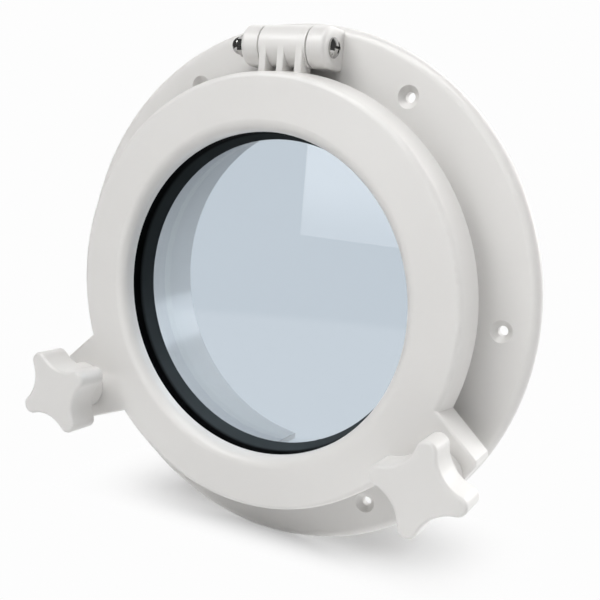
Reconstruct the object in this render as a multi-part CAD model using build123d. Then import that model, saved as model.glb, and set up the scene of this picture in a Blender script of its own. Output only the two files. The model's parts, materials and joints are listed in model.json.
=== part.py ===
from build123d import *
import math
import os

# Opening porthole window: a moulded frame that is screwed to a wall, and a glazed door that hangs
# from a hinge at the top and is clamped by two star knobs. Millimetres.
# The axis of the window is Y: the room is on the -Y side and the wall is on the +Y side.
# The origin is the centre of the flange's back face, which lies on the wall. +Z is up.

# Radii, worked out from the door's bore outwards
bore_radius = 89.8
bore_round = 6.0
seal_lip = 3.15
glass_bite = 7.0
seal_edge = 2.2
hub_wall = 8.0
hub_clearance = 2.0
coaming_wall = 6.0
gasket_overlap = 1.6
door_rim_wall = 5.4
door_taper = 2.5
sleeve_step = 7.0
sleeve_wall = 4.0
fixing_reach = 8.5
flange_margin = 18.5

# Depths, worked out from the flange's back face towards the room
flange_thickness = 7.5
retainer_gap = 1.0
retainer_thickness = 3.5
glass_thickness = 5.0
seal_depth = 15.2
seal_lip_depth = 9.0
bore_land = 9.8
coaming_height = 10.5
gasket_gap = 0.3
gasket_stand = 3.1
gasket_seat = 3.0
sleeve_length = 43.0

# Edges of the mouldings
flange_round = 5.0
flange_back_round = 1.0
coaming_round = 1.2
sleeve_end_round = 1.2
door_edge_round = 3.0
door_back_round = 0.8
glass_edge = 0.6

# Drain slot at the bottom of the sleeve
drain_width = 18.0
drain_length = 32.0

# Fixing holes in the flange
fixing_count = 6
fixing_hole_radius = 2.75
countersink_depth = 3.25
countersink_angle = 90.0

# Hinge at the top
barrel_radius = 10.75
barrel_gap = 1.0
hinge_clearance = 1.75
knuckle_length = 28.4
knuckle_play = 0.5
knuckle_round = 0.6
lug_length = 10.6
lug_round = 2.2
rib_count = 3
rib_thickness = 4.2
rib_inset = 1.2
rib_root = 4.0
rib_round = 0.7
pin_radius = 5.0
pin_clearance = 0.05
pin_setback = 0.6
hinge_screw_radius = 3.0
screw_head_radius = 5.2
screw_head_height = 3.6
head_edge_height = 1.0
recess_length = 5.4
recess_width = 1.3
recess_depth = 2.0
nut_width = 10.0
nut_height = 5.5
nut_dome_radius = 4.8
nut_length = 11.0
nut_wall = 2.0
nut_spare = 1.0

# Clamps at the lower left and right
clamp_angle = 31.4
stud_reach = 15.0
ear_end = 12.0
ear_tip_width = 39.5
ear_root_width = 54.0
ear_tip_chamfer = 2.0
ear_edge_round = 1.5
boss_gap = 0.5
boss_wall = 3.0
boss_clearance = 0.6
boss_round = 1.0
stud_radius = 3.3
thread_depth = 0.7
stud_engagement = 8.5
stud_clear = 0.5
stud_hole_play = 1.2
stud_grip = 19.0
stud_point = 1.0
insert_wall = 2.2
insert_spare = 2.5
clip_radius = 6.2
clip_thickness = 1.0
clip_recess = 1.7
clip_margin = 0.3
clip_groove_depth = 0.7
clip_groove_play = 0.05
clip_mouth = 4.4
pocket_clearance = 2.3
washer_radius = 9.5
washer_thickness = 1.6
washer_gap = 0.15
washer_play = 0.1
washer_bore_play = 0.5
collar_gap = 0.5
collar_radius = 14.0
collar_length = 9.0
knob_radius = 26.0
knob_depth = 19.5
knob_waist = 15.6
knob_lobes = 4
lobe_round = 5.5
knob_front_round = 1.8
knob_back_round = 1.2
knob_turns = {"left": 32.5, "right": -6.9}

# Small screws that hold the glazing retainer
retainer_screw_count = 8
retainer_bore_step = 1.7
retainer_edge = 0.5
retainer_screw_radius = 1.5
retainer_screw_head_radius = 3.0
retainer_screw_length = 9.0
retainer_slot_length = 3.4
retainer_slot_width = 0.8
retainer_slot_depth = 0.8

# Clearance of pieces that are fitted together, and the overrun of every cut
fit = 0.05
overrun = 2.0

# Radii that follow
lip_radius = bore_radius - seal_lip
glass_radius = bore_radius + glass_bite
rebate_radius = glass_radius + seal_edge
hub_radius = rebate_radius + hub_wall
coaming_inner = hub_radius + hub_clearance
coaming_outer = coaming_inner + coaming_wall
groove_outer = coaming_outer + gasket_overlap
door_back_radius = groove_outer + door_rim_wall
door_front_radius = door_back_radius - door_taper
sleeve_bore = hub_radius - sleeve_step
sleeve_radius = sleeve_bore + sleeve_wall
fixing_circle = door_back_radius + fixing_reach
flange_radius = fixing_circle + flange_margin
retainer_bore = bore_radius + retainer_bore_step
retainer_radius = hub_radius - retainer_edge
retainer_screw_circle = (rebate_radius + hub_radius) / 2

# Planes across the axis that follow
flange_front = -flange_thickness
retainer_back = flange_front - retainer_gap
hub_back = retainer_back - retainer_thickness
glass_front = hub_back - glass_thickness
shoulder = glass_front - seal_depth
door_front = shoulder - bore_land
coaming_top = flange_front - coaming_height
gasket_top = coaming_top - gasket_gap
door_back = gasket_top - gasket_stand
groove_floor = door_back - gasket_seat

# Hinge places that follow
hinge_y = flange_front - barrel_gap - barrel_radius
hinge_z = door_back_radius + hinge_clearance + barrel_radius
lug_inner = knuckle_length / 2 + knuckle_play
lug_outer = lug_inner + lug_length
pin_hole_radius = pin_radius + pin_clearance
nut_floor = lug_outer + nut_length - nut_wall
screw_end = nut_floor - nut_spare

# Clamp places that follow
stud_circle = door_back_radius + stud_reach
ear_tip = stud_circle + ear_end
boss_top = door_back + boss_gap
boss_inner = groove_outer + boss_clearance
stud_tip = boss_top + stud_engagement
insert_bottom = stud_tip + insert_spare
insert_bore = stud_radius + thread_depth
insert_radius = insert_bore + insert_wall
boss_radius = insert_radius + boss_wall
clamp_travel = stud_engagement + stud_clear
clip_back = door_back - clip_recess
clip_front = clip_back - clip_thickness
pocket_floor = clip_front - clamp_travel - clip_margin
pocket_radius = clip_radius + pocket_clearance
stud_hole_radius = stud_radius + stud_hole_play
washer_back = door_front - washer_gap
washer_front = washer_back - washer_thickness
collar_face = door_front - collar_gap
knob_back = collar_face - collar_length
knob_front = knob_back - knob_depth
stud_head = collar_face - stud_grip


# Solid of revolution about Y, from corners (radius, y) and a rounding for some of them
def turned(corners, rounds=None):
    face = make_face(Polyline(*corners, close=True))
    for corner, radius in (rounds or {}).items():
        vertex = face.vertices().sort_by_distance((corner[0], corner[1], 0))[0]
        face = fillet(vertex, radius)
    return revolve(face, axis=Axis.Y)


# Round bar along Y at a place in the XZ plane
def bar_y(radius, y_low, y_high, x=0.0, z=0.0):
    plane = Plane(origin=(x, y_low, z), x_dir=(1, 0, 0), z_dir=(0, 1, 0))
    return extrude(plane * Circle(radius), y_high - y_low)


# Round bar along X on the hinge axis
def bar_x(radius, x_low, x_high):
    plane = Plane(origin=(x_low, hinge_y, hinge_z), x_dir=(0, 1, 0), z_dir=(1, 0, 0))
    return extrude(plane * Circle(radius), x_high - x_low)


# Block between two corners
def block(low, high):
    size = [top - bottom for bottom, top in zip(low, high)]
    centre = [(top + bottom) / 2 for bottom, top in zip(low, high)]
    return Pos(*centre) * Box(*size)


# Place of a clamp's stud in the XZ plane: side is -1 on the left and 1 on the right
def stud_place(side):
    angle = math.radians(clamp_angle)
    return side * stud_circle * math.cos(angle), -stud_circle * math.sin(angle)


# Plane across the axis whose X runs out along a clamp's direction and whose normal faces the room
def clamp_plane(side, y):
    angle = math.radians(clamp_angle)
    x_dir = (side * math.cos(angle), 0, -math.sin(angle))
    return Plane(origin=(0, y, 0), x_dir=x_dir, z_dir=(0, -1, 0))


# Frame: flange with a sleeve through the wall, and a coaming that the door's gasket closes on
def make_frame():
    ring = turned(
        [
            (sleeve_bore, sleeve_length),
            (sleeve_radius, sleeve_length),
            (sleeve_radius, 0),
            (flange_radius, 0),
            (flange_radius, flange_front),
            (coaming_outer, flange_front),
            (coaming_outer, coaming_top),
            (coaming_inner, coaming_top),
            (coaming_inner, flange_front),
            (sleeve_bore, flange_front),
        ],
        {
            (flange_radius, flange_front): flange_round,
            (flange_radius, 0): flange_back_round,
            (coaming_outer, coaming_top): coaming_round,
            (coaming_inner, coaming_top): coaming_round,
            (coaming_outer, flange_front): coaming_round,
            (sleeve_bore, sleeve_length): sleeve_end_round,
            (sleeve_radius, sleeve_length): sleeve_end_round,
        },
    )
    body = ring + [clamp_boss(side) for side in (-1, 1)] + [hinge_lug(side) for side in (-1, 1)]
    body -= [fixing_hole(index) for index in range(fixing_count)]
    body -= bar_x(pin_hole_radius, -lug_outer - overrun, lug_outer + overrun)
    for side in (-1, 1):
        x, z = stud_place(side)
        body -= bar_y(insert_radius + fit, boss_top - overrun, insert_bottom, x, z)
    drain_low = (-drain_width / 2, sleeve_length - drain_length, -sleeve_radius - overrun)
    drain_high = (drain_width / 2, sleeve_length + overrun, -sleeve_bore + overrun)
    return body - block(drain_low, drain_high)


# Round boss behind an ear, which takes the threaded insert, with a web to the coaming
def clamp_boss(side):
    root = flange_front / 2
    web = Pos((coaming_inner + stud_circle) / 2, 0) * Rectangle(stud_circle - coaming_inner, 2 * boss_radius)
    outline = web + Pos(stud_circle, 0) * Circle(boss_radius)
    boss = extrude(clamp_plane(side, root) * outline, root - boss_top)
    boss = fillet(boss.faces().sort_by(Axis.Y)[0].edges(), boss_round)
    return boss - bar_y(boss_inner, boss_top - overrun, overrun)


# Lug of the hinge: round in front of the axis and square behind it, down to the flange
def hinge_lug(side):
    x_low, x_high = sorted((side * lug_inner, side * lug_outer))
    root = block(
        (x_low, hinge_y, hinge_z - barrel_radius),
        (x_high, flange_front / 2, hinge_z + barrel_radius),
    )
    lug = bar_x(barrel_radius, x_low, x_high) + root
    for end, radius in ((side, lug_round), (-side, knuckle_round)):
        face = lug.faces().sort_by(Axis.X)[-1 if end > 0 else 0]
        lug = fillet(face.edges().filter_by(GeomType.CIRCLE), radius)
    return lug


# Countersunk hole for one fixing screw, cut from the front
def fixing_hole(index):
    angle = math.radians(360 / fixing_count * index)
    x = fixing_circle * math.cos(angle)
    z = fixing_circle * math.sin(angle)
    slope = math.tan(math.radians(countersink_angle / 2))
    wide = fixing_hole_radius + (countersink_depth + overrun) * slope
    cone = turned(
        [
            (0, flange_front - overrun),
            (wide, flange_front - overrun),
            (fixing_hole_radius, flange_front + countersink_depth),
            (0, flange_front + countersink_depth),
        ]
    )
    return bar_y(fixing_hole_radius, flange_front - overrun, overrun, x, z) + Pos(x, 0, z) * cone


# Door: a thick ring with a hub behind it that holds the glass, two ears and the hinge knuckle
def make_door():
    ring = turned(
        [
            (bore_radius, door_front),
            (door_front_radius, door_front),
            (door_back_radius, door_back),
            (hub_radius, door_back),
            (hub_radius, hub_back),
            (bore_radius, hub_back),
        ],
        {
            (bore_radius, door_front): bore_round,
            (door_front_radius, door_front): door_edge_round,
            (door_back_radius, door_back): door_back_round,
        },
    )
    body = ring + [clamp_ear(side) for side in (-1, 1)] + hinge_knuckle()
    groove = bar_y(groove_outer, groove_floor, door_back + overrun)
    groove -= bar_y(hub_radius, groove_floor - overrun, door_back + 2 * overrun)
    body -= groove
    body -= bar_y(rebate_radius, shoulder, hub_back + overrun)
    body -= bar_x(pin_hole_radius, -knuckle_length, knuckle_length)
    for side in (-1, 1):
        x, z = stud_place(side)
        body -= bar_y(stud_hole_radius, door_front - overrun, door_back + overrun, x, z)
        body -= bar_y(pocket_radius, pocket_floor, door_back + overrun, x, z)
    depth = retainer_screw_length - retainer_thickness + overrun
    holes = [
        bar_y(retainer_screw_radius + fit, hub_back - depth, hub_back + overrun, x, z)
        for x, z in retainer_screw_places()
    ]
    return body - holes


# Tapered ear that reaches out from the door's ring and takes a clamp's stud
def clamp_ear(side):
    root = ear_root_width / 2
    tip = ear_tip_width / 2
    shoulder_place = ear_tip - ear_tip_chamfer
    outline = Polyline(
        (hub_radius, -root),
        (shoulder_place, -tip),
        (ear_tip, -tip + ear_tip_chamfer),
        (ear_tip, tip - ear_tip_chamfer),
        (shoulder_place, tip),
        (hub_radius, root),
        close=True,
    )
    ear = extrude(clamp_plane(side, door_back) * make_face(outline), door_back - door_front)
    return fillet(ear.faces().sort_by(Axis.Y)[0].edges(), ear_edge_round)


# Knuckle between the lugs, carried by upright ribs that stand on the door's rim
def hinge_knuckle():
    barrel = bar_x(barrel_radius, -knuckle_length / 2, knuckle_length / 2)
    barrel = fillet(barrel.edges().filter_by(GeomType.CIRCLE), knuckle_round)
    first = -knuckle_length / 2 + rib_inset
    spacing = (knuckle_length - 2 * rib_inset - rib_thickness) / (rib_count - 1)
    ribs = []
    for index in range(rib_count):
        x_low = first + index * spacing
        rib = block(
            (x_low, hinge_y - barrel_radius, door_back_radius - rib_root),
            (x_low + rib_thickness, hinge_y, hinge_z),
        )
        ribs.append(fillet(rib.edges().filter_by(Axis.Z).group_by(Axis.Y)[0], rib_round))
    return barrel + ribs


# Places of the retainer's screws in the XZ plane
def retainer_screw_places():
    step = 2 * math.pi / retainer_screw_count
    angles = [(index + 1 / 2) * step for index in range(retainer_screw_count)]
    return [
        (retainer_screw_circle * math.cos(angle), retainer_screw_circle * math.sin(angle))
        for angle in angles
    ]


# Rubber ring in the door's back that is pressed on the coaming
def make_compression_gasket():
    inner = hub_radius + fit
    outer = groove_outer - fit
    rounds = {(inner, gasket_top): coaming_round, (outer, gasket_top): coaming_round}
    return turned(
        [(inner, groove_floor), (outer, groove_floor), (outer, gasket_top), (inner, gasket_top)],
        rounds,
    )


# Black glazing seal: wall flush with the bore, sloping lip on the glass and a band round its edge
def make_glazing_seal():
    outer = rebate_radius - fit
    return turned(
        [
            (bore_radius, shoulder),
            (outer, shoulder),
            (outer, hub_back),
            (glass_radius + fit, hub_back),
            (glass_radius + fit, glass_front),
            (lip_radius, glass_front),
            (bore_radius, glass_front - seal_lip_depth),
        ]
    )


# Pane of toughened glass with ground edges
def make_glass_pane():
    return turned(
        [
            (0, glass_front),
            (glass_radius - glass_edge, glass_front),
            (glass_radius, glass_front + glass_edge),
            (glass_radius, hub_back - glass_edge),
            (glass_radius - glass_edge, hub_back),
            (0, hub_back),
        ]
    )


# Ring that is screwed to the hub and holds the glass in its seal
def make_glazing_retainer():
    inner_edge = (retainer_bore, retainer_back)
    outer_edge = (retainer_radius, retainer_back)
    ring = turned(
        [(retainer_bore, hub_back), (retainer_radius, hub_back), outer_edge, inner_edge],
        {outer_edge: coaming_round, inner_edge: coaming_round},
    )
    return ring - [Pos(x, 0, z) * retainer_screw(fit) for x, z in retainer_screw_places()]


# One retainer screw on the Y axis with its head flush, grown by a clearance for its hole
def retainer_screw(clearance=0.0):
    shank = retainer_screw_radius + clearance
    head = retainer_screw_head_radius + clearance
    cone_end = retainer_back - (head - shank)
    return turned(
        [
            (0, retainer_back),
            (head, retainer_back),
            (shank, cone_end),
            (shank, retainer_back - retainer_screw_length),
            (0, retainer_back - retainer_screw_length),
        ]
    )


# All retainer screws with their cross slots, as one group
def make_retainer_screws():
    half = retainer_slot_length / 2
    width = retainer_slot_width / 2
    floor = retainer_back - retainer_slot_depth
    screw = retainer_screw()
    screw -= block((-half, floor, -width), (half, retainer_back + overrun, width))
    screw -= block((-width, floor, -half), (width, retainer_back + overrun, half))
    return Compound([Pos(x, 0, z) * screw for x, z in retainer_screw_places()])


# Hinge pin: a tube that the door turns on, drawn together by the screw through it
def make_hinge_pin():
    end = lug_outer - pin_setback
    return bar_x(pin_radius, -end, end) - bar_x(hinge_screw_radius + fit, -end - overrun, end + overrun)


# Long hinge screw with a domed head and a cross recess on the right lug, which ends in the nut
def make_hinge_screw():
    crown = (screw_head_height, 0)
    end = -lug_outer - screw_end
    edge = (head_edge_height, screw_head_radius)
    rise = screw_head_height - head_edge_height
    dome = (screw_head_radius**2 + rise**2) / (2 * rise)
    half_angle = math.asin(screw_head_radius / dome) / 2
    middle = (screw_head_height - dome * (1 - math.cos(half_angle)), dome * math.sin(half_angle))
    outline = Polyline(
        crown,
        (end, 0),
        (end, hinge_screw_radius),
        (0, hinge_screw_radius),
        (0, screw_head_radius),
        edge,
    )
    profile = make_face(outline + ThreePointArc(edge, middle, crown))
    screw = revolve(profile, axis=Axis.X)
    floor = screw_head_height - recess_depth
    half = recess_length / 2
    width = recess_width / 2
    screw -= block((floor, -half, -width), (screw_head_height + overrun, half, width))
    screw -= block((floor, -width, -half), (screw_head_height + overrun, width, half))
    return Pos(lug_outer, hinge_y, hinge_z) * screw


# Dome nut on the left lug: a hexagon with a round cap, bored blind for the screw
def make_hinge_nut():
    plane = Plane(origin=(-lug_outer, hinge_y, hinge_z), x_dir=(0, 0, 1), z_dir=(-1, 0, 0))
    nut = extrude(plane * RegularPolygon(nut_width / 2, 6, major_radius=False), nut_height)
    neck = nut_length - nut_dome_radius
    cap = extrude(plane * Circle(nut_dome_radius), neck)
    dome = Pos(-lug_outer - neck, hinge_y, hinge_z) * Sphere(nut_dome_radius)
    return nut + cap + dome - bar_x(hinge_screw_radius + fit, -nut_floor, -lug_outer + overrun)


# Outline of a star knob: round lobe tips joined by hollow flanks that are tangent to them
def knob_outline(turn):
    reach = knob_radius - lobe_round
    half_step = math.pi / knob_lobes
    near = reach * math.cos(half_step)
    flank = (lobe_round**2 - reach**2 - knob_waist**2 + 2 * near * knob_waist) / (
        2 * (knob_waist - near - lobe_round)
    )
    join_share = lobe_round / (lobe_round + flank)

    def polar(radius, angle):
        return Vector(radius * math.cos(angle), radius * math.sin(angle))

    edges = []
    for index in range(knob_lobes):
        angle = math.radians(turn) + 2 * half_step * index
        lobe = polar(reach, angle)
        before = polar(knob_waist + flank, angle - half_step)
        after = polar(knob_waist + flank, angle + half_step)
        next_lobe = polar(reach, angle + 2 * half_step)
        start = lobe + (before - lobe) * join_share
        end = lobe + (after - lobe) * join_share
        flank_end = next_lobe + (after - next_lobe) * join_share
        edges.append(ThreePointArc(start, polar(knob_radius, angle), end))
        edges.append(ThreePointArc(end, polar(knob_waist, angle + half_step), flank_end))
    return make_face(edges)


# Star knob with a round collar that faces the ear, hollowed for the washer and the stud
def make_knob(side, turn):
    x, z = stud_place(side)
    plane = Plane(origin=(x, knob_back, z), x_dir=(1, 0, 0), z_dir=(0, -1, 0))
    star = extrude(plane * knob_outline(turn), knob_depth)
    star = fillet(star.faces().sort_by(Axis.Y)[0].edges(), knob_front_round)
    star = fillet(star.faces().sort_by(Axis.Y)[-1].edges(), knob_back_round)
    knob = star + bar_y(collar_radius, knob_back - overrun, collar_face, x, z)
    knob -= bar_y(stud_radius, stud_head, collar_face + overrun, x, z)
    return knob - bar_y(
        washer_radius + washer_play, washer_front - washer_play, collar_face + overrun, x, z
    )


# Threaded stud of a clamp at its root diameter, grooved for the clip that keeps it in the ear
def make_stud(side):
    x, z = stud_place(side)
    groove = stud_radius - clip_groove_depth
    stud = turned(
        [
            (0, stud_head),
            (stud_radius, stud_head),
            (stud_radius, clip_front - clip_groove_play),
            (groove, clip_front - clip_groove_play),
            (groove, clip_back + clip_groove_play),
            (stud_radius, clip_back + clip_groove_play),
            (stud_radius, stud_tip - stud_point),
            (stud_radius - stud_point, stud_tip),
            (0, stud_tip),
        ]
    )
    return Pos(x, 0, z) * stud


# Thrust washer between the collar and the ear
def make_washer(side):
    x, z = stud_place(side)
    washer = bar_y(washer_radius, washer_front, washer_back, x, z)
    return washer - bar_y(
        stud_radius + washer_bore_play, washer_front - overrun, washer_back + overrun, x, z
    )


# Open clip in the stud's groove, which stops the knob at the end of its travel
def make_clip(side):
    x, z = stud_place(side)
    bore = stud_radius - clip_groove_depth + fit
    clip = bar_y(clip_radius, clip_front, clip_back, x, z)
    clip -= bar_y(bore, clip_front - overrun, clip_back + overrun, x, z)
    half = clip_mouth / 2
    mouth_low = (x - half, clip_front - overrun, z - clip_radius - overrun)
    mouth_high = (x + half, clip_back + overrun, z)
    return clip - block(mouth_low, mouth_high)


# Threaded insert in a boss, bored to the thread's outer diameter
def make_insert(side):
    x, z = stud_place(side)
    insert = bar_y(insert_radius, boss_top, insert_bottom, x, z)
    return insert - bar_y(insert_bore, boss_top - overrun, insert_bottom + overrun, x, z)


pieces = {
    "frame": make_frame(),
    "door": make_door(),
    "compression_gasket": make_compression_gasket(),
    "glazing_seal": make_glazing_seal(),
    "glass_pane": make_glass_pane(),
    "glazing_retainer": make_glazing_retainer(),
    "retainer_screws": make_retainer_screws(),
    "hinge_pin": make_hinge_pin(),
    "hinge_screw": make_hinge_screw(),
    "hinge_nut": make_hinge_nut(),
}
for side_name, side in (("left", -1), ("right", 1)):
    pieces[f"knob_{side_name}"] = make_knob(side, knob_turns[side_name])
    pieces[f"stud_{side_name}"] = make_stud(side)
    pieces[f"thrust_washer_{side_name}"] = make_washer(side)
    pieces[f"stud_clip_{side_name}"] = make_clip(side)
    pieces[f"threaded_insert_{side_name}"] = make_insert(side)

os.makedirs("parts", exist_ok=True)
for node, shape in pieces.items():
    export_step(shape, f"parts/{node}.step")
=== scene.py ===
import json
import math

import bpy
from mathutils import Matrix, Vector


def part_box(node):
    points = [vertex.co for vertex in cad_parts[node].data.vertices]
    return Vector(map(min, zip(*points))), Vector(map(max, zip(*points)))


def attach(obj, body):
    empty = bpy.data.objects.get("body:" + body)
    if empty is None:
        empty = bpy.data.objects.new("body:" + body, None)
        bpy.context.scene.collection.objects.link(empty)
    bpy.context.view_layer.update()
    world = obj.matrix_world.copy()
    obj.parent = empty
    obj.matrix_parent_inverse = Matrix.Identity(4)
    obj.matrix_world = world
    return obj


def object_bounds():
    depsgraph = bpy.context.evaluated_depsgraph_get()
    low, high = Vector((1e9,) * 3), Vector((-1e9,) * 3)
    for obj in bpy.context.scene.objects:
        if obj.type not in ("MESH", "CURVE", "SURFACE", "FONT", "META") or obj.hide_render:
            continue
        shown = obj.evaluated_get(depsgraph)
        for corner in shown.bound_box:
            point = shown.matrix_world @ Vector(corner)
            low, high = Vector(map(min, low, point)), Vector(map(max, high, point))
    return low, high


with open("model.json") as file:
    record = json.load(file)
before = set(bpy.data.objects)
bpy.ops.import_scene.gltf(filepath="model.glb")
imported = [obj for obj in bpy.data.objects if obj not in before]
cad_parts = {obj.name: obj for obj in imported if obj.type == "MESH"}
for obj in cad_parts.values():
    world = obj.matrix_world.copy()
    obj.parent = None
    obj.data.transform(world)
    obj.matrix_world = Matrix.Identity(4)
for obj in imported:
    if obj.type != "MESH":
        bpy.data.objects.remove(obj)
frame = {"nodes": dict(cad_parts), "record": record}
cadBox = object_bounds()
nodes = frame["nodes"]
print("window loaded,", len(nodes), "CAD nodes")


# a socket with operators: each operation adds the Math node for it
class Wire:
    def __init__(self, shade, socket):
        self.shade = shade
        self.socket = socket

    def maths(self, operation, first, second):
        return self.shade.node("ShaderNodeMath", {"operation": operation}, {0: first, 1: second})

    def apply(self, operation, other=0.0):
        return self.maths(operation, self, other)

    def __add__(self, other):
        return self.maths("ADD", self, other)

    def __radd__(self, other):
        return self.maths("ADD", other, self)

    def __sub__(self, other):
        return self.maths("SUBTRACT", self, other)

    def __rsub__(self, other):
        return self.maths("SUBTRACT", other, self)

    def __mul__(self, other):
        return self.maths("MULTIPLY", self, other)

    def __rmul__(self, other):
        return self.maths("MULTIPLY", other, self)


# the node tree of one material, of one lamp or of the world
class Shade:
    def __init__(self, owner):
        owner.use_nodes = True
        self.tree = owner.node_tree
        self.tree.nodes.clear()

    def node(self, kind, settings=None, sockets=None, output=0):
        made = self.tree.nodes.new(kind)
        for name, value in (settings or {}).items():
            setattr(made, name, value)
        for key, value in (sockets or {}).items():
            if isinstance(value, Wire):
                self.tree.links.new(value.socket, made.inputs[key])
            else:
                made.inputs[key].default_value = value
        return Wire(self, made.outputs[output]) if made.outputs else None

    def place(self):
        return self.node("ShaderNodeTexCoord", None, None, "Object")

    def vector(self, operation, first, second=(0, 0, 0), output="Vector"):
        sockets = {0: first, 1: second}
        return self.node("ShaderNodeVectorMath", {"operation": operation}, sockets, output)

    def length(self, place):
        return self.vector("LENGTH", place, output="Value")

    def axis(self, place, letter):
        return self.node("ShaderNodeSeparateXYZ", None, {0: place}, letter)

    # distance from the window's axis, and place along it
    def axisPlace(self, place):
        flat = self.vector("MULTIPLY", place, (1, 0, 1))
        return self.length(flat), self.axis(place, "Y")

    # smooth step from 0 to 1 while a value goes from low to high
    def step(self, value, low, high):
        return self.node(
            "ShaderNodeMapRange",
            {"interpolation_type": "SMOOTHSTEP"},
            {"Value": value, "From Min": low, "From Max": high},
        )

    def noise(self, place, scale, detail, roughness):
        sockets = {"Vector": place, "Scale": scale, "Detail": detail, "Roughness": roughness}
        return self.node("ShaderNodeTexNoise", None, sockets)

    # a value that a noise moves to both sides of its middle
    def vary(self, middle, spread, noise):
        return middle + spread * (noise - 0.5)

    def mixColour(self, share, first, second):
        sockets = {0: share, 6: (*first, 1), 7: (*second, 1)}
        return self.node("ShaderNodeMix", {"data_type": "RGBA"}, sockets, 2)

    def bump(self, height, strength, distance):
        sockets = {"Height": height, "Strength": strength, "Distance": distance}
        return self.node("ShaderNodeBump", None, sockets)

    def diffuse(self, colour):
        return self.node("ShaderNodeBsdfDiffuse", None, {"Color": (*colour, 1)})

    def glow(self, strength, kind="ShaderNodeEmission"):
        return self.node(kind, None, {"Color": (1, 1, 1, 1), "Strength": strength})

    def blend(self, share, first, second):
        return self.node("ShaderNodeMixShader", None, {0: share, 1: first, 2: second})

    def lightPath(self, ray):
        return self.node("ShaderNodeLightPath", None, None, ray)

    def principled(self, sockets):
        return self.node("ShaderNodeBsdfPrincipled", None, sockets)

    def finish(self, kind, shader):
        self.node(kind, None, {"Surface": shader})


def newShade(name):
    material = bpy.data.materials.new(name)
    return material, Shade(material)


# each noise is its scale, detail and roughness, and each fade is where it starts and ends
mouldingLook = {
    "light": (0.80, 0.789, 0.772),
    "dark": (0.765, 0.753, 0.736),
    "cloud": (16, 4, 0.6),
    "grain": (2400, 2, 0.6),
    "roughness": 0.31,
    "roughnessSpread": 0.10,
    "boreRoughness": 0.13,
    "boreRadius": (0.1002, 0.1012),
    "boreStart": (-0.008, -0.006),
    "boreCoat": 0.6,
    "cloudHeight": 0.15,
    "bump": (0.10, 0.00012),
    "ior": 1.49,
}


# white moulding: soft gloss with a very fine spark-eroded grain, and a smooth polished bore
def whiteMoulding():
    look = mouldingLook
    material, shade = newShade("whiteMoulding")
    place = shade.place()
    cloud = shade.noise(place, *look["cloud"])
    grain = shade.noise(place, *look["grain"])
    radius, along = shade.axisPlace(place)
    inside = 1 - shade.step(radius, *look["boreRadius"])
    bore = inside * shade.step(along, *look["boreStart"])
    rough = shade.vary(look["roughness"], look["roughnessSpread"], grain)
    height = grain * (1 - bore) + look["cloudHeight"] * cloud
    shader = shade.principled(
        {
            "Base Color": shade.mixColour(cloud, look["light"], look["dark"]),
            "Roughness": rough - bore * (look["roughness"] - look["boreRoughness"]),
            "IOR": look["ior"],
            "Coat Weight": bore * look["boreCoat"],
            "Coat Roughness": look["boreRoughness"],
            "Normal": shade.bump(height, *look["bump"]),
        }
    )
    shade.finish("ShaderNodeOutputMaterial", shader)
    return material


rubberLook = {
    "black": (0.001, 0.0012, 0.0013),
    "slate": (0.058, 0.070, 0.077),
    "paintedSheenAtTop": 0.32,
    "paintedSheenAtBottom": 0.72,
    "paintedSheenHeights": (-0.085, 0.085),
    "slateSpread": 0.4,
    "lip": (-0.0266, -0.0235),
    "cloud": (40, 3, 0.6),
    "grain": (1800, 3, 0.6),
    "roughness": 0.6,
    "roughnessSpread": 0.16,
    "specular": 0.01,
    "ringPitch": 0.0009,
    "ringHeight": 0.5,
    "bump": (0.25, 0.00005),
}


# black rubber: extruded, with faint rings that run round the window; the lip is slate, partly its
# own tone and partly painted sheen, and it is painted lighter towards the bottom, where more light
# falls on it
def blackRubber():
    look = rubberLook
    material, shade = newShade("blackRubber")
    place = shade.place()
    grain = shade.noise(place, *look["grain"])
    cloud = shade.noise(place, *look["cloud"])
    radius, along = shade.axisPlace(place)
    turns = (radius + along) * (2 * math.pi / look["ringPitch"])
    rings = look["ringHeight"] * turns.apply("SINE")
    # painted sheen: the lip's slate is stronger towards the bottom, where its face turns up into
    # the light
    upward = shade.step(shade.axis(place, "Z"), *look["paintedSheenHeights"])
    share = look["paintedSheenAtBottom"] - (look["paintedSheenAtBottom"] - look["paintedSheenAtTop"]) * upward
    slateWithPaintedSheen = shade.step(along, *look["lip"]) * share * shade.vary(1, look["slateSpread"], cloud)
    shader = shade.principled(
        {
            "Base Color": shade.mixColour(slateWithPaintedSheen, look["black"], look["slate"]),
            "Roughness": shade.vary(look["roughness"], look["roughnessSpread"], grain),
            "Specular IOR Level": look["specular"],
            "Normal": shade.bump(rings + grain, *look["bump"]),
        }
    )
    shade.finish("ShaderNodeOutputMaterial", shader)
    return material


glassLook = {
    "tint": (0.570, 0.640, 0.708),
    "tintDeep": (0.556, 0.625, 0.693),
    "cloud": (12, 3, 0.5),
    "wipe": (60, 4, 0.7),
    "wipeFade": (0.55, 0.8),
    "wipeRoughness": 0.012,
    "roughness": 0.004,
    "ior": 1.5,
}


# toughened glass with a blue-grey tint and a trace of wiping marks
def tintedGlass():
    look = glassLook
    material, shade = newShade("tintedGlass")
    place = shade.place()
    cloud = shade.noise(place, *look["cloud"])
    wipe = shade.step(shade.noise(place, *look["wipe"]), *look["wipeFade"])
    shader = shade.principled(
        {
            "Base Color": shade.mixColour(cloud, look["tint"], look["tintDeep"]),
            "Roughness": look["roughness"] + look["wipeRoughness"] * wipe,
            "IOR": look["ior"],
            "Transmission Weight": 1.0,
        }
    )
    shade.finish("ShaderNodeOutputMaterial", shader)
    return material


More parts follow.
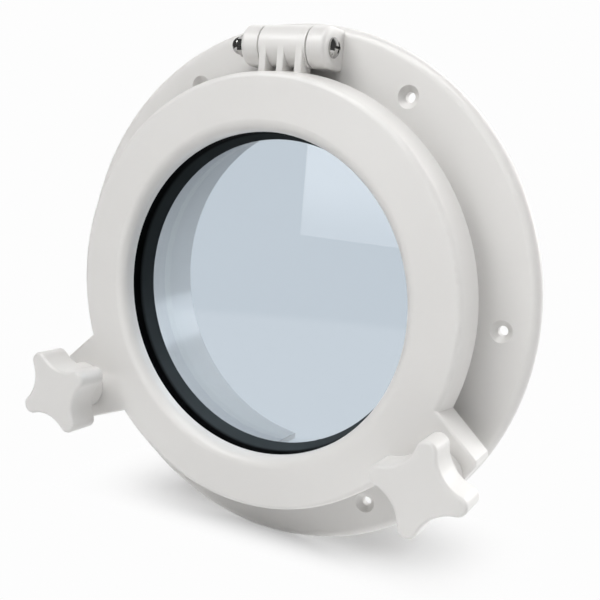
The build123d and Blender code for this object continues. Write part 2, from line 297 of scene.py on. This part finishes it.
# bright stainless steel, whose turning marks are drawn out along the window's axis
steelLook = {
    "light": (0.58, 0.57, 0.555),
    "dark": (0.38, 0.375, 0.37),
    "cloud": (150, 3, 0.6),
    "marks": (900, 4, 0.7),
    "stretch": (1, 0.25, 1),
    "metallic": 1.0,
    "roughness": 0.12,
    "roughnessSpread": 0.14,
    "bump": (0.12, 0.00004),
}

brassLook = {
    "light": (0.78, 0.56, 0.24),
    "dark": (0.62, 0.42, 0.16),
    "cloud": (200, 3, 0.6),
    "marks": (1400, 3, 0.7),
    "stretch": (1, 1, 1),
    "metallic": 1.0,
    "roughness": 0.28,
    "roughnessSpread": 0.16,
    "bump": (0.15, 0.00004),
}

nylonLook = {
    "light": (0.74, 0.73, 0.68),
    "dark": (0.68, 0.665, 0.61),
    "cloud": (120, 3, 0.6),
    "marks": (1600, 3, 0.6),
    "stretch": (1, 1, 1),
    "metallic": 0.0,
    "roughness": 0.5,
    "roughnessSpread": 0.14,
    "bump": (0.2, 0.00006),
}


# a cloudy colour with fine marks, for the small pieces of metal and nylon
def markedFinish(name, look):
    material, shade = newShade(name)
    place = shade.place()
    marks = shade.noise(shade.vector("MULTIPLY", place, look["stretch"]), *look["marks"])
    cloud = shade.noise(place, *look["cloud"])
    shader = shade.principled(
        {
            "Base Color": shade.mixColour(cloud, look["light"], look["dark"]),
            "Metallic": look["metallic"],
            "Roughness": shade.vary(look["roughness"], look["roughnessSpread"], marks),
            "Normal": shade.bump(marks, *look["bump"]),
        }
    )
    shade.finish("ShaderNodeOutputMaterial", shader)
    return material


finishes = {
    "white_moulding": whiteMoulding(),
    "black_rubber": blackRubber(),
    "tinted_glass": tintedGlass(),
    "stainless": markedFinish("stainless", steelLook),
    "brass": markedFinish("turnedBrass", brassLook),
    "white_nylon": markedFinish("naturalNylon", nylonLook),
}
for subpart in frame["record"]["subparts"]:
    node = nodes[subpart["node"]]
    node.data.materials.clear()
    node.data.materials.append(finishes[subpart["material_slot"]])
print("finishes on", len(nodes), "nodes")


def showObject(name, data):
    made = bpy.data.objects.new(name, data)
    bpy.context.scene.collection.objects.link(made)
    return made


threadLook = {
    "depth": 0.0006,
    "pitch": 0.00125,
    "sides": 48,
    "rootShare": 0.46,
    "crestShare": 0.10,
    "sunk": 0.00015,
    "clipGap": 0.0004,
    "point": 0.0011,
    "runOut": 0.6,
}


# ridge of a stud's thread, wound round the plain stud from its clip to its point
def makeThread(side):
    look = threadLook
    low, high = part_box("stud_" + side)
    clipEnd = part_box("stud_clip_" + side)[1].y
    x, z = (low.x + high.x) / 2, (low.z + high.z) / 2
    root = (high.x - low.x) / 2
    start = clipEnd + look["clipGap"] + look["pitch"] / 2
    end = high.y - look["point"] - look["pitch"] / 2
    steps = round((end - start) / look["pitch"] * look["sides"])
    shares = (-look["rootShare"], -look["crestShare"], look["crestShare"], look["rootShare"])
    corners = len(shares)
    foot = root - look["sunk"]
    points = []
    for i in range(steps + 1):
        turn = 2 * math.pi * i / look["sides"]
        along = start + (end - start) * i / steps
        rise = min(1, min(i, steps - i) / (look["runOut"] * look["sides"]))
        crest = foot + (look["depth"] + look["sunk"]) * rise
        for share, radius in zip(shares, (foot, crest, crest, foot)):
            across, upward = radius * math.cos(turn), radius * math.sin(turn)
            points.append((x + across, along + share * look["pitch"], z + upward))
    firstEnd = tuple(range(corners))
    lastEnd = tuple(corners * steps + k for k in reversed(range(corners)))
    faces = [firstEnd, lastEnd]
    for i in range(steps):
        for k in range(corners):
            here, near = corners * i + k, corners * i + (k + 1) % corners
            faces.append((here, here + corners, near + corners, near))
    mesh = bpy.data.meshes.new("thread" + side.capitalize())
    mesh.from_pydata(points, [], faces)
    mesh.materials.append(finishes["stainless"])
    thread = showObject("thread" + side.capitalize(), mesh)
    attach(thread, "knob_" + side)


for clampSide in ("left", "right"):
    makeThread(clampSide)
print("threads on the studs")


# true for what looks straight at the white surroundings: the camera, also through the glass
def seenRay(shade):
    return shade.lightPath("Is Camera Ray").apply("MAXIMUM", shade.lightPath("Is Transmission Ray"))


# how white the surroundings look, and how dim the room is in a mirror
whiteGlow = 0.983
roomGloss = 0.07

floorLook = {
    "radius": 6.0,
    "sides": 96,
    "gap": 0.0002,
    "front": (0.95, 0.95, 0.95),
    "behind": (0.20, 0.20, 0.20),
    "turn": (0.0, 0.10),
    "shadow": (0.95, 0.95, 0.95),
    "paintedContactShadow": (0.22, 0.22, 0.22),
    "paintedContactReach": 0.07,
    "shadowMiddle": (0.0, 0.03),
    "shadowWide": (0.06, 0.15),
    "shadowDeep": (0.006, 0.068),
    "tableEdge": (0.70, 0.79),
    "tableBehind": (0.0, 0.5),
}


# pale floor: it keeps the shadow close to the window and is plain white away from it; where the
# window is near above it, its colour is painted darker as a painted contact shadow
def makeFloor():
    look = floorLook
    height = cadBox[0].z - look["gap"]
    points = []
    for i in range(look["sides"]):
        turn = 2 * math.pi * i / look["sides"]
        points.append((look["radius"] * math.cos(turn), look["radius"] * math.sin(turn), height))
    mesh = bpy.data.meshes.new("floor")
    mesh.from_pydata(points, [], [list(range(look["sides"]))])
    floor = showObject("floor", mesh)
    material, shade = newShade("paleFloor")
    place = shade.place()
    along = shade.axis(place, "Y")

    def shadeReach(value, middle, fade):
        return 1 - shade.step((value - middle).apply("ABSOLUTE"), *fade)

    wide = shadeReach(shade.axis(place, "X"), look["shadowMiddle"][0], look["shadowWide"])
    deep = shadeReach(along, look["shadowMiddle"][1], look["shadowDeep"])
    # painted contact shadow: a dark floor colour wherever the window is near above
    clear = shade.node("ShaderNodeAmbientOcclusion", None, {"Distance": look["paintedContactReach"]}, "AO")
    shadowAndPaintedContact = shade.blend(clear, shade.diffuse(look["paintedContactShadow"]), shade.diffuse(look["shadow"]))
    seen = shade.blend(wide * deep, shade.glow(whiteGlow), shadowAndPaintedContact)

    # a mirror sees a dim room past the table's front edge
    table = 1 - shade.step(shade.length(place), *look["tableEdge"])
    table = table.apply("MAXIMUM", shade.step(along, *look["tableBehind"]))
    mirrored = shade.blend(table, shade.glow(roomGloss), shade.glow(whiteGlow))

    # less light comes back from the floor behind the window
    behind = shade.step(along, *look["turn"])
    bounce = shade.blend(behind, shade.diffuse(look["front"]), shade.diffuse(look["behind"]))
    unseen = shade.blend(shade.lightPath("Is Glossy Ray"), bounce, mirrored)
    shade.finish("ShaderNodeOutputMaterial", shade.blend(seenRay(shade), unseen, seen))
    mesh.materials.append(material)


worldLook = {
    "ambient": 0.01,
    "backdropAmbient": 2.4,
    "backdropHeading": (0.7, 0.714, 0),
    "backdropFade": (0.35, 0.75),
    "backdropTop": (0.30, 0.55),
    "mirrorFade": (0.2, 0.6),
}


# white studio: a bright backdrop behind the window on its right, and a dim room elsewhere
def makeWorld():
    look = worldLook
    world = bpy.data.worlds.new("studio")
    bpy.context.scene.world = world
    shade = Shade(world)
    heading = shade.node("ShaderNodeTexCoord", None, None, "Generated")

    def glow(strength):
        return shade.glow(strength, "ShaderNodeBackground")

    toBackdrop = shade.vector("DOT_PRODUCT", heading, look["backdropHeading"], "Value")
    low = 1 - shade.step(shade.axis(heading, "Z"), *look["backdropTop"])
    backdrop = shade.step(toBackdrop, *look["backdropFade"]) * low
    ambient = shade.blend(backdrop, glow(look["ambient"]), glow(look["backdropAmbient"]))
    behind = shade.step(shade.axis(heading, "Y"), *look["mirrorFade"])
    mirrored = shade.blend(behind, glow(roomGloss), glow(whiteGlow))
    unseen = shade.blend(shade.lightPath("Is Glossy Ray"), ambient, mirrored)
    shade.finish("ShaderNodeOutputWorld", shade.blend(seenRay(shade), unseen, glow(whiteGlow)))


# softboxes: middle, the point each one faces, size and radiance
# the front one is only mirrored, and the back one only lights
softboxes = {
    "frontSoftbox": {
        "at": (-0.145, -1.5, 0.615),
        "to": (-0.145, 0, 0.615),
        "size": (1.29, 1.47),
        "glow": 1.58,
        "lights": False,
    },
    "keySoftbox": {
        "at": (-0.55, -1.0, 1.1),
        "to": (0, 0, 0),
        "size": (0.7, 0.7),
        "glow": 6.3,
    },
    "topSoftbox": {
        "at": (0.15, -0.6, 1.35),
        "to": (0, 0, 0),
        "size": (0.8, 0.8),
        "glow": 6.1,
    },
    "rearSoftbox": {
        "at": (0.81, 1.21, 0.36),
        "to": (0, 0, 0),
        "size": (0.35, 0.55),
        "glow": 3.2,
    },
    "backSoftbox": {
        "at": (0.6, 1.2, 1.05),
        "to": (0, 0, 0),
        "size": (1.2, 0.6),
        "glow": 7.6,
        "mirrored": False,
    },
}

# shares of the front softbox's radiance, from its lower edge up
frontFade = {
    "edgeShare": 0.72,
    "bandShare": 1.42,
    "bandFrom": (0.0, 0.10),
    "bandTo": (0.13, 0.30),
}


# the front softbox is dimmer at its lower edge, as the glass mirrors it
def fadeFront(light):
    look = frontFade
    shade = Shade(light)
    spot = shade.node("ShaderNodeNewGeometry", None, None, "Parametric")
    upward = shade.axis(spot, "Y")
    rise = shade.step(upward, *look["bandFrom"])
    band = shade.blend(rise, shade.glow(look["edgeShare"]), shade.glow(look["bandShare"]))
    faded = shade.blend(shade.step(upward, *look["bandTo"]), band, shade.glow(1.0))
    shade.finish("ShaderNodeOutputLight", faded)


def makeSoftbox(name, box):
    light = bpy.data.lights.new(name, "AREA")
    light.shape = "RECTANGLE"
    light.size, light.size_y = box["size"]
    light.energy = box["glow"] * math.pi * box["size"][0] * box["size"][1]
    if name == "frontSoftbox":
        fadeFront(light)
    lamp = showObject(name, light)
    lamp.visible_glossy = box.get("mirrored", True)
    lamp.visible_diffuse = box.get("lights", True)
    facing = Vector(box["to"]) - Vector(box["at"])
    turn = facing.to_track_quat("-Z", "Z")
    lamp.matrix_world = Matrix.Translation(box["at"]) @ turn.to_matrix().to_4x4()


cameraSetup = {
    "azimuth": 27.11,
    "elevation": 14.04,
    "roll": 4.99,
    "target": (0.01742, 0.0, -0.04177),
    "distance": 0.50428,
    "lens": 51.0,
    "sensor": 36.0,
    "shift": (-0.01443, 0.11095),
    "clipStart": 0.01,
}


def makeCamera():
    setup = cameraSetup
    azimuth, elevation, roll = (math.radians(setup[k]) for k in ("azimuth", "elevation", "roll"))
    level = math.cos(elevation)
    back = Vector((math.sin(azimuth) * level, -math.cos(azimuth) * level, math.sin(elevation)))
    right = (-back).cross(Vector((0, 0, 1))).normalized()
    up = right.cross(-back)
    rolledRight = math.cos(roll) * right + math.sin(roll) * up
    rolledUp = math.cos(roll) * up - math.sin(roll) * right
    data = bpy.data.cameras.new("camera")
    data.sensor_width = setup["sensor"]
    data.lens = setup["lens"]
    data.shift_x, data.shift_y = setup["shift"]
    data.clip_start = setup["clipStart"]
    camera = showObject("camera", data)
    place = Vector(setup["target"]) + back * setup["distance"]
    turn = Matrix((rolledRight, rolledUp, back)).transposed()
    camera.matrix_world = Matrix.Translation(place) @ turn.to_4x4()
    bpy.context.scene.camera = camera


makeFloor()
makeWorld()
for softboxName, softbox in softboxes.items():
    makeSoftbox(softboxName, softbox)
makeCamera()
bpy.context.scene.view_settings.view_transform = "Standard"
print("stage, light and camera set")
